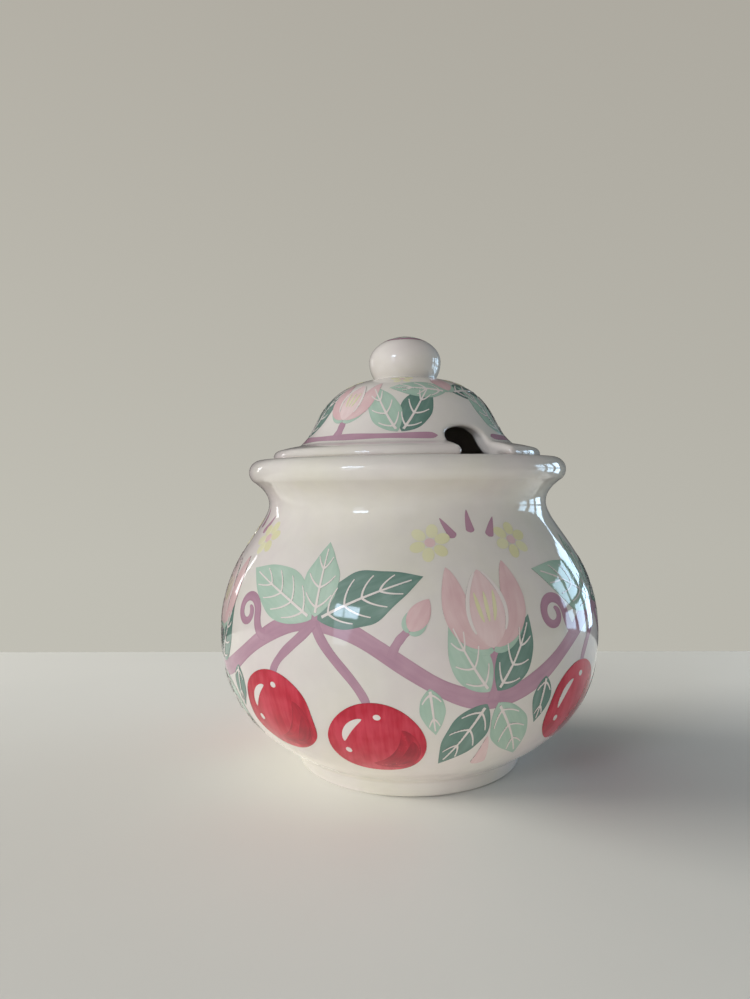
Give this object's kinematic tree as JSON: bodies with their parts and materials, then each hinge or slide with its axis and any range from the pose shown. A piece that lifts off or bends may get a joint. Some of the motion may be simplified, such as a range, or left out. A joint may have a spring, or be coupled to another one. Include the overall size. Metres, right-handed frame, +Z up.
{
  "type": "honey pot",
  "caption": "Round-bellied glazed honey pot on a foot ring, with a rolled rim and a lift-off domed lid that has a ball knob and a spoon notch in its edge.",
  "frame": {"origin": "on the table under the pot's axis, in the plane that the foot ring stands on", "axes": "+Z up along the axis of the pot and lid; -Y is the front that the picture shows and +X is to its right; the spoon notch points 33 degrees from -Y towards +X"},
  "size_m": [0.11, 0.11, 0.1245],
  "materials": {
    "pot_glaze": "clear gloss glaze over warm white earthenware",
    "lid_glaze": "clear gloss glaze over warm white earthenware",
    "underglaze_red": "hand-painted colour under gloss glaze",
    "underglaze_mauve": "hand-painted colour under gloss glaze",
    "underglaze_mint": "hand-painted colour under gloss glaze",
    "underglaze_sage": "hand-painted colour under gloss glaze",
    "underglaze_pink": "hand-painted colour under gloss glaze",
    "underglaze_yellow": "hand-painted colour under gloss glaze"
  },
  "bodies": {
    "pot": {"pot_body": "pot_glaze"},
    "lid": {"lid_dome": "lid_glaze", "lid_knob": "lid_glaze"}
  },
  "joints": [
    {"name": "lid_lift", "type": "slide", "parent": "pot", "child": "lid", "axis": [0, 0, 1], "range_m": [0, 0.06]}
  ]
}
